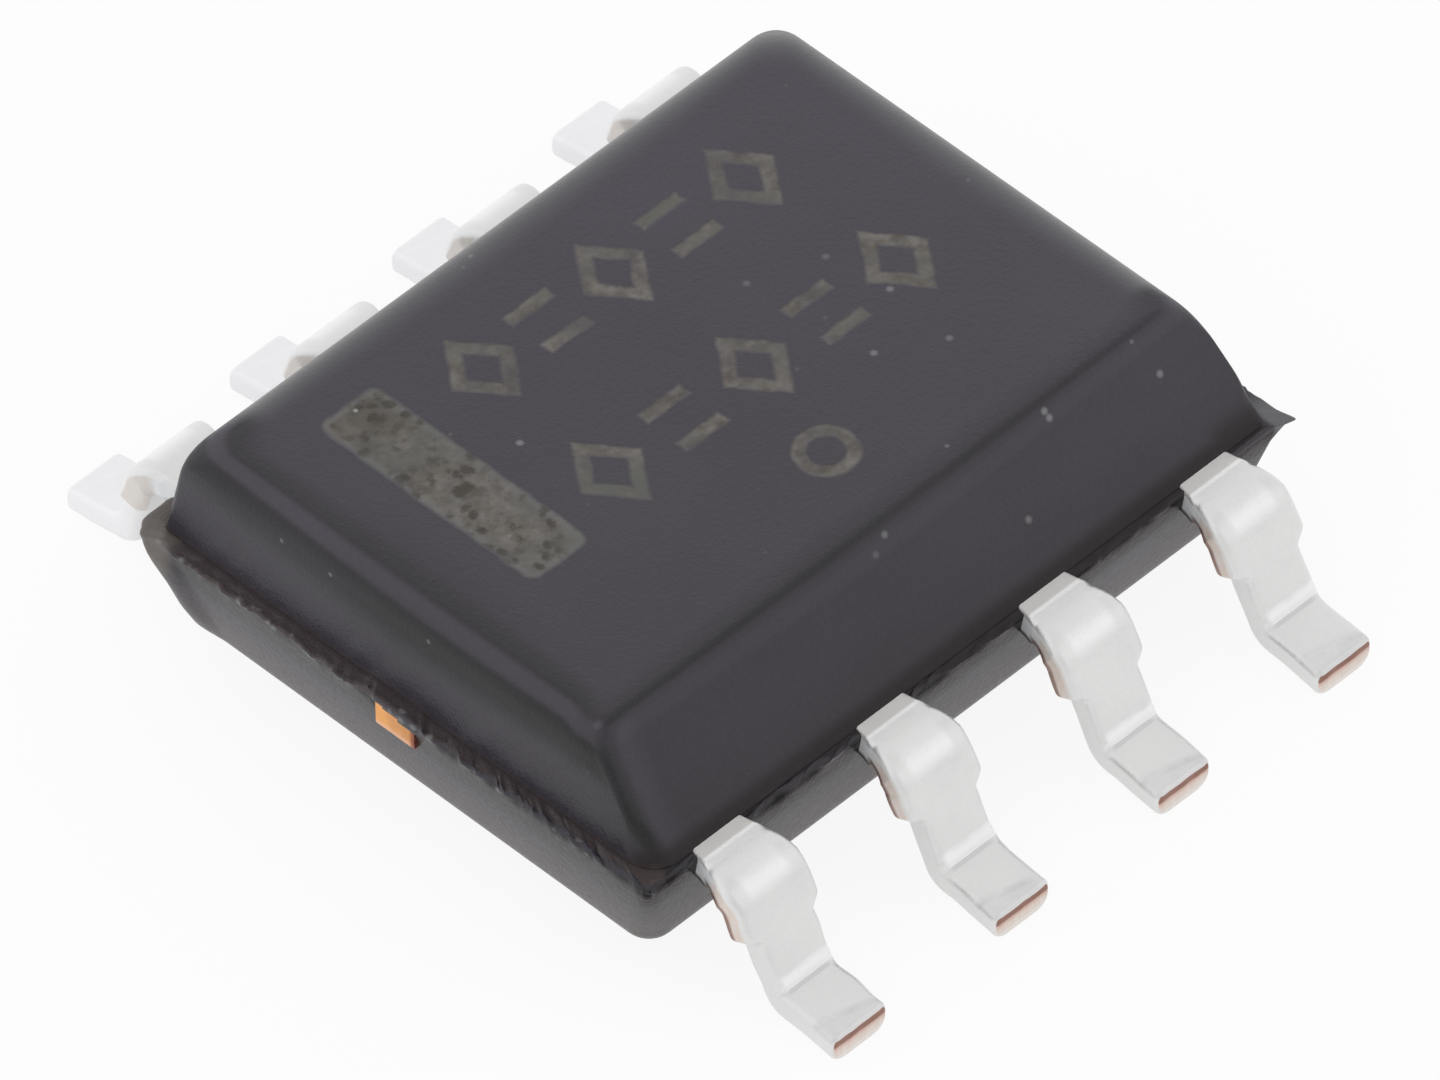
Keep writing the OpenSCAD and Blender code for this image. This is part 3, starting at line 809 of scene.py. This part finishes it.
# Painted shade, a painted highlight and a painted glint at the corner next to lead 1
painted_corner_shade = round_corner.within(-0.30, -0.04, 0.05, 0.10) * walled
painted_corner_highlight = round_corner.within(0.08, 0.13, 0.14, 0.32) * walled
painted_corner_glint = point_distance(epoxy, -2.21, -1.32).step(0.040, 0.010) * epoxy.z.step(1.40, 1.45)

# %% Walls, crevice and lip, with painted light and shadow
FIN_AT, RECESS_AT, EAR_AT = (2.50, -1.95), (2.24, -1.86), (-2.40, 1.98)
# Painted shade: the end wall at -X is darker
painted_end_wall_shade = epoxy.x.step(-2.24, -2.30) * rise.step(0.0, 0.05)
# Painted light: the lower wall is paler towards the bottom, where the white floor lights it
floor_lit_low_wall = epoxy.z.step(PART_Z - 0.15, 0.20)
# Painted shadow on the wall under the lip, and under the front lip painted shade, also by a darker metallic
# reflection
painted_under_lip_shadow = epoxy.z.within(0.56, 0.82, 0.87, 0.90)
# Painted light: the tone is a little lighter close to the crevice
crevice = abs(rise).step(0.10, 0.0)
# Painted shadow in the gap at the foot of the slope and in a recess near the corner at +X and -Y
painted_gap_shadow = rise.within(-0.11, -0.08, 0.05, 0.17) * epoxy.y.step(-1.66, -1.80) * epoxy.x.step(2.44, 2.36)
painted_recess_shadow = point_distance(epoxy, *RECESS_AT).step(0.30, 0.12) * rise.within(-0.04, 0.02, 0.08, 0.24)
shadow = (painted_gap_shadow * 0.85).high(painted_recess_shadow * 0.75)
painted_front_lip_shade = epoxy.z.within(0.66, 0.84, 0.86, 0.885) * epoxy.y.step(-1.84, -1.90)
ledge = rise.within(-0.16, -0.10, 0.0, 0.05) * epoxy.x.step(-2.28, -2.34)
ear = point_distance(epoxy, *EAR_AT).step(0.28, 0.18) * rise.within(-0.50, -0.32, -0.02, 0.02)
# Painted light: the fin is painted paler against the shade of the body beside it
fin = point_distance(epoxy, *FIN_AT).step(0.30, 0.12) * epoxy.x.step(2.40, 2.44) * epoxy.z.step(0.80, 0.88)
grit = epoxy.cells(9.0).step(0.32, 0.12) * epoxy.x.step(-2.45, -2.47) * epoxy.z.step(0.84, 0.87)

# %% [markdown]
# ### Colour of the epoxy
# The tone of the resin is one sum, lighter towards +X and +Y by a painted gradient of light,
# brighter and darker by the masks of painted light and shade, and it scales the charcoal.
# The rest is painted over it in layers, in the order of the real thing: what the laser burnt lies
# on top of what the mould left.

# %% Colours of the epoxy
CHARCOAL = grey(0.095, (0.99, 0.92, 1.22))
FLOOR_LIGHT_GREY = grey(0.120, (1.12, 1.0, 0.93))
CREVICE_SHADOW_BLACK = grey(0.012, (1.3, 1.0, 1.0))
LEDGE_BROWN = grey(0.046, (1.42, 1.0, 0.92))
EAR_GREY = grey(0.13, (1.12, 1.0, 0.90))
FIN_LIGHT_GREY = grey(0.115, (1.0, 1.0, 1.05))
BURNT_DARK = grey(0.070, (1.22, 1.0, 0.80))
BURNT_PALE = grey(0.185, (1.09, 1.0, 0.92))
BURNT_PLAIN = grey(0.105, (1.02, 1.04, 0.93))
DWELT_BROWN = grey(0.062, (1.22, 1.0, 0.75))
FRINGE_PALE = grey(0.150, (0.97, 1.0, 1.0))
BLOT_BROWN = grey(0.050, (1.20, 1.0, 0.75))
PIT_BROWN = grey(0.022, (1.30, 1.0, 0.65))

# Painted light: the tone grows lighter towards +X and +Y
tone = 0.875 + 0.055 * epoxy.x + 0.050 * epoxy.y + 0.30 * cloud + 0.25 * grain + 0.20 * dust
tone = tone - (0.46 - 0.12 * at_slope) * painted_dark_reflection + 0.15 * painted_light_reflection - 0.44 * painted_under_edge_shade - 0.60 * painted_under_lip_shadow
tone = tone - (0.18 + 0.12 * rise.step(0.50, 0.15)) * painted_slope_shade - 0.16 * painted_end_wall_shade - 0.18 * painted_corner_shade
tone = tone + 0.25 * crevice - 0.80 * painted_front_lip_shade + 0.27 * painted_corner_highlight + 0.6 * painted_corner_glint

# %% Layers of the epoxy
resin = epoxy.paint(
    epoxy.mix(tone * 0.5, grey(0.0), CHARCOAL), (floor_lit_low_wall * 0.7, FLOOR_LIGHT_GREY), (shadow, CREVICE_SHADOW_BLACK),
    (ledge * 0.6, LEDGE_BROWN), (far_edge_highlight * 0.8, grey(0.20)), (ear * 0.9, EAR_GREY), (fin, FIN_LIGHT_GREY),
    (grit * 0.4, grey(0.30)))
mark = epoxy.mix(0.5 + 2.6 * mottle, BURNT_DARK, BURNT_PALE)
mark = epoxy.mix(0.5 + 2.0 * cloud + 1.5 * spots, mark, BURNT_PLAIN)
resin = epoxy.paint(
    resin, (burnt, mark), (dwelt * band * 0.6, DWELT_BROWN), (fringe * 0.5, FRINGE_PALE),
    (blots * band * 0.55, BLOT_BROWN), (pits * band * 0.65, PIT_BROWN),
    (flecks * band * 0.6, grey(0.45)), (grains, grey(0.50)))
epoxy.put("Base Color", resin)
epoxy.put("Metallic", 0.7 * painted_front_lip_shade)
epoxy.put("Roughness", 0.38 + 0.20 * grain + 0.35 * burnt + 0.45 * shadow + 0.10 * painted_under_edge_shade)
epoxy.bump(0.6 * grain + 0.4 * dust + 1.4 * mottle * burnt - 1.0 * burnt - 0.8 * pits * band, 0.006)
epoxy.dress(body)

# %% [markdown]
# ## Tin plating and bare copper
# The leads are plated with matt tin after moulding, so they are nearly white and only partly
# metallic. The crease at the heel gets a painted matt white highlight with painted shade past it,
# and the shoulder a painted highlight. Dam bars and toes are cut after the plating: there the copper
# alloy shows, smeared with tin, with a dark line where the shear broke through. Close to the body a
# thin skin of resin leaves the metal duller. Three numbers on the mesh say where a point lies along
# the lead, across it and in its thickness.

# %% Places on a lead
tin = Finish("matt_tin")
along, aside, depth = (tin.attribute(key) for key in ("along", "aside", "depth"))
past_bend, past_leg, past_heel, past_toe = (along - place for place in (BEND, LEG, HEEL, TOE))
reach = abs(aside)
streak = tin.noise(30.0, 2.0, 0.6, (1.0, 1.0, 0.15))
clouds, speckle, smear = tin.noise(3.5, 3.0), tin.noise(45.0, 2.0, 0.6), tin.noise(7.0, 2.0)
# Painted light: the far part of the back leads, past Y 2.3, is painted paler
back_row, lit_far_back = tin.y.step(0.0, 0.5), tin.y.step(2.30, 2.55)
front_row = 1.0 - back_row
above = depth.step(0.55, 0.85)
middle = above * reach.step(0.185, 0.130)

# %% Plated tin
skin = along.step(0.050, 0.034)
rim_line = along.within(0.030, 0.050, 0.055, 0.075) * above
# Painted light: the sides close to the body are painted paler and less metallic, so they reflect less of the
# dark body
beside = past_bend.step(0.20, 0.08) * depth.step(0.85, 0.60)
# Painted shade: the underside close to the body is painted nearly black
underside_shade = along.step(0.14, 0.05) * depth.step(-0.35, -0.75)
# Painted highlight on the shoulder bend
shoulder_highlight = past_leg.within(-0.21, -0.11, -0.09, -0.01) * middle
# Painted highlight: the crease at the heel is painted matt white
crease_highlight = (past_heel + 0.06 * smear).within(-0.100, -0.060, 0.004, 0.026) * above
crease_highlight = crease_highlight * aside.step(-0.205, -0.150)
# Painted shade in a line just past the crease
crease_shade = past_heel.within(0.005, 0.030, 0.085, 0.125) * middle
past_dent = past_toe + DENT_L - DENT_SKEW * aside
outer_foot = past_dent.step(-0.01, 0.02) * above * (1.0 - lit_far_back)
dent = past_dent.within(-0.03, 0.0, 0.01, 0.04) * above * (1.0 - lit_far_back)

plated = tin.mix(0.5 + 0.9 * clouds + 0.5 * speckle, grey(0.75), grey(0.855, (1.0, 1.0, 0.99)))
plated = tin.paint(
    plated, (skin * 0.85, grey(0.68, (1.03, 1.0, 0.97))), (rim_line * 0.8, grey(0.98)),
    (beside * 0.8, grey(0.95, (0.97, 1.0, 1.02))), (lit_far_back * 0.9, grey(0.93, (1.0, 1.0, 1.02))),
    (underside_shade * 0.95, grey(0.035, (1.3, 0.95, 0.85))),
    (crease_highlight.high(shoulder_highlight * 0.5), grey(1.0)), (crease_shade * 0.6, grey(0.62)),
    (outer_foot * (0.4 + 1.5 * smear), grey(0.68)), (dent * (0.2 + 1.2 * smear), grey(0.55)))

# %% Cut faces
COPPER_PALE, COPPER_TINNED = grey(0.66, (1.12, 0.92, 0.80)), grey(0.80, (1.04, 0.98, 0.93))
TIN_SMEAR, BLUSH = grey(0.86, (1.02, 1.0, 0.97)), grey(0.40, (1.55, 0.85, 0.65))
SHEAR_LINE, BACK_CUT = grey(0.13, (1.80, 0.82, 0.60)), grey(0.72, (1.03, 1.0, 0.96))
torn = depth + 0.25 * smear
toe = past_toe.step(-0.008, -0.003)
toe_face = toe * torn.step(0.80, 0.70)
toe_line = toe * torn.within(0.20, 0.38, 0.70, 0.80)
on_stub = past_bend.step(-0.02, 0.06) * past_leg.step(STUB_LEG + 0.05, STUB_LEG)
stub_face = on_stub * reach.step(LEAD_W / 2 + 0.035, LEAD_W / 2 + 0.055) * torn.step(0.75, 0.50)
stub_line = on_stub * torn.step(0.0, -0.30) * front_row
bare = toe_face.high(stub_face).high(stub_line)
cut = tin.paint(
    tin.mix(0.5 + 1.2 * streak + 0.6 * smear, COPPER_PALE, COPPER_TINNED),
    (toe * depth.step(-0.30, -0.60) * 0.6, TIN_SMEAR), (toe * torn.step(-0.20, 0.34) * 0.7, BLUSH),
    (toe_line.high(stub_line) * (0.85 + 0.5 * smear), SHEAR_LINE),
    (back_row * (1.0 - toe) * 0.75, BACK_CUT))

# %% The leads' finish
STAIN_BROWN = grey(0.075, (1.8, 0.90, 0.65))
stain = past_bend.within(-0.10, -0.03, 0.05, 0.12) * torn.step(0.10, -0.30)
tin.put("Base Color", tin.paint(plated, (bare, cut), (stain * front_row * 0.9, STAIN_BROWN)))
tin.put("Metallic", 0.6 - 0.6 * crease_highlight + 0.15 * shoulder_highlight - 0.45 * beside)
tin.put("Roughness", 0.36 + 0.20 * clouds + 0.16 * skin + 0.10 * bare - 0.16 * crease_highlight)
smooth = 1.0 - past_heel.within(-0.17, -0.10, 0.04, 0.10)
tin.bump((0.5 * speckle + 0.8 * tin.noise(9.0, 2.0)) * smooth + 0.8 * streak * bare, 0.004)
tin.dress(*leads)

# %% [markdown]
# ## Copper of the paddle
# The paddle and its tie bars are bare copper alloy. Only the sheared ends of the bars show. The
# shear rubbed them bright at one side and drew a pale burr along the lower edge, and the other side
# gets a painted dark red shadow.

# %% Copper
COPPER_DARK, COPPER_LIGHT = (0.52, 0.22, 0.08, 1.0), (0.86, 0.44, 0.17, 1.0)
RUBBED_BRIGHT, SHADOW_RED = (1.0, 0.50, 0.16, 1.0), (0.20, 0.045, 0.04, 1.0)
BURR_PALE, BAR_LOW = (0.86, 0.56, 0.42, 1.0), PART_Z - LEAD_T
copper = Finish("lead_frame_copper", Metallic=1.0)
rub = copper.noise(40.0, 2.0, 0.6, (1.0, 0.2, 1.0))
alloy = copper.mix(0.5 + 0.5 * rub + 1.2 * copper.noise(6.0), COPPER_DARK, COPPER_LIGHT)
# The dark red towards -Y is a painted shadow
alloy = copper.paint(
    alloy, (copper.y.step(0.0, 0.11) * 0.6, RUBBED_BRIGHT),
    (copper.z.step(BAR_LOW + 0.045, BAR_LOW + 0.015) * 0.5, BURR_PALE),
    (copper.y.step(-0.105, -0.14) * 0.8, SHADOW_RED))
copper.put("Base Color", alloy)
copper.put("Roughness", 0.40 + 0.3 * rub)
copper.bump(rub, 0.006)
copper.dress(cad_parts["die_paddle"])

# %% [markdown]
# ## The pieces inside
# The die, its glue and the bond wires show only when a scene cuts the body open. Their CAD shapes
# are right as they are, so they only need finishes: polished silicon with the fine lines of its
# circuit, silver filled glue and drawn gold.

# %% Silicon, glue and gold
SILICON_GREY, CIRCUIT_GREY = grey(0.16, (0.95, 1.0, 1.12)), grey(0.42, (1.05, 1.0, 0.92))
silicon = Finish("silicon", Metallic=0.6)
lines = (silicon.x * 14.0).fraction().step(0.42, 0.50) * silicon.noise(5.0).step(-0.05, 0.05)
lines = lines.high((silicon.y * 11.0).fraction().step(0.42, 0.50) * silicon.noise(4.0).step(0.05, -0.05))
face_up = silicon.z.step(0.985, 0.995)
silicon.put("Base Color", silicon.mix(lines * face_up, SILICON_GREY, CIRCUIT_GREY))
silicon.put("Roughness", 0.20 + 0.15 * lines)
silicon.dress(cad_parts["die"])

glue = Finish("silver_glue", Metallic=0.5)
flakes = glue.cells(40.0).step(0.6, 0.2)
glue.put("Base Color", glue.mix(flakes, grey(0.36), grey(0.62, (1.02, 1.0, 0.97))))
glue.put("Roughness", 0.65 - 0.25 * flakes)
glue.dress(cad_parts["die_attach"])

gold = Finish("drawn_gold", Metallic=1.0)
drawn = gold.noise(60.0, 2.0)
gold.put("Base Color", gold.mix(0.5 + drawn, grey(0.62, (1.4, 1.0, 0.42)), grey(0.74, (1.35, 1.05, 0.5))))
gold.put("Roughness", 0.25 + 0.2 * drawn)
gold.dress(*[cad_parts[f"bond_wire_{n}"] for n in range(1, 9)])

# %% [markdown]
# ## Floor and light
# The chip lies on a light table, so the floor is white to the camera and in reflections, and only a
# small share of it is a matt sheet that keeps the shadow. The chip is lit by a white tent, brighter
# towards +X and +Y, with a bright window in front, a lighter side at the end with lead 1, and a
# dimmer patch overhead. A Mix Shader with the kind of ray as its share keeps the white that the
# camera sees apart from the light on the chip.

# %% The light table
floor_mesh = bpy.data.meshes.new("floor")
floor_mesh.from_pydata([(sx, sy, 0) for sx, sy in CORNER_SIGNS], [], [(0, 1, 2, 3)])
floor = bpy.data.objects.new("floor", floor_mesh)
scene.collection.objects.link(floor)
table = Finish("white_table", Roughness=0.9)
table.put("Base Color", table.mix(0.5 + 0.3 * table.noise(0.4), grey(0.93), grey(0.96)))
straight, mirrored = table.seen()
white = table.node("ShaderNodeEmission", {}, {"Color": grey(1.0), "Strength": 1.0})
table.surface(table.blend((straight + mirrored) * 0.90, table.shader.outputs[0], white.outputs[0]))
table.dress(floor)

# %% The light tent
# Strength of the dim and of the bright tent, and of the plain white that the camera sees
LEVELS = (0.60, 1.05, 1.0)
WINDOW, LIGHT_SIDE, DIM_ROOF = (0.48, -0.66, 0.58), (-0.82, 0.36, 0.36), (0.40, -0.25, 0.88)
world = bpy.data.worlds.new("light_tent")
scene.world = world
world.use_nodes = True
sky = Nodes(world.node_tree)
sky_x, sky_y, sky_z = sky.split(sky.node("ShaderNodeTexCoord", {}, {}).outputs["Generated"])


def patch(direction, wide, narrow):
    """1 within narrow degrees of a direction and 0 beyond wide degrees."""
    a, b, c = Vector(direction).normalized()
    cosine = sky_x * a + sky_y * b + sky_z * c
    return cosine.step(math.cos(math.radians(wide)), math.cos(math.radians(narrow)))


tent = 0.50 + 0.20 * (sky_x + sky_y) + 0.55 * patch(WINDOW, 28, 13)
tent = tent + 0.45 * patch(LIGHT_SIDE, 78, 20) - 0.25 * patch(DIM_ROOF, 24, 8)
dim, bright, plain = (sky.node("ShaderNodeBackground", {}, {"Color": grey(1.0), "Strength": level}).outputs[0]
                      for level in LEVELS)
sky.surface(sky.blend(sky.seen()[0], sky.blend(tent.high(0.0).low(1.0), dim, bright), plain))
print("the tent is", len(world.node_tree.nodes), "world nodes")

# %% [markdown]
# ## Camera
# The camera is long and far away, because a photograph of so small a thing has almost no
# perspective. Two angles and a distance from the middle of the chip give its place, and the pixels
# to a millimetre there give its lens.

# %% The camera of the photograph
AZIMUTH, ELEVATION, ROLL = map(math.radians, (-44.2687, 46.5759, -1.2620))
DISTANCE, PIXELS_PER_MM, SHIFT_RIGHT, SHIFT_UP = 170.0, 180.952, 0.0300, -0.2892
FRAME_WIDTH, AIM_Z = 1440, 0.8
flat = math.cos(ELEVATION)
back = Vector((math.sin(AZIMUTH) * flat, -math.cos(AZIMUTH) * flat, math.sin(ELEVATION)))
level_right = Vector((math.cos(AZIMUTH), math.sin(AZIMUTH), 0))
level_up = back.cross(level_right)
right = math.cos(ROLL) * level_right + math.sin(ROLL) * level_up
up = -math.sin(ROLL) * level_right + math.cos(ROLL) * level_up
eye = (Vector((0, 0, AIM_Z)) + back * DISTANCE + right * SHIFT_RIGHT + up * SHIFT_UP) * MM

camera_data = bpy.data.cameras.new("camera")
camera_data.sensor_width = 36.0
camera_data.lens = PIXELS_PER_MM * DISTANCE / FRAME_WIDTH * camera_data.sensor_width
camera_data.clip_start, camera_data.clip_end = 0.01, 10.0
camera = bpy.data.objects.new("camera", camera_data)
camera.matrix_world = Matrix.Translation(eye) @ Matrix((right, up, back)).transposed().to_4x4()
scene.collection.objects.link(camera)
scene.camera = camera
scene.view_settings.view_transform = "Standard"
print(f"lens {camera_data.lens:.0f} mm")
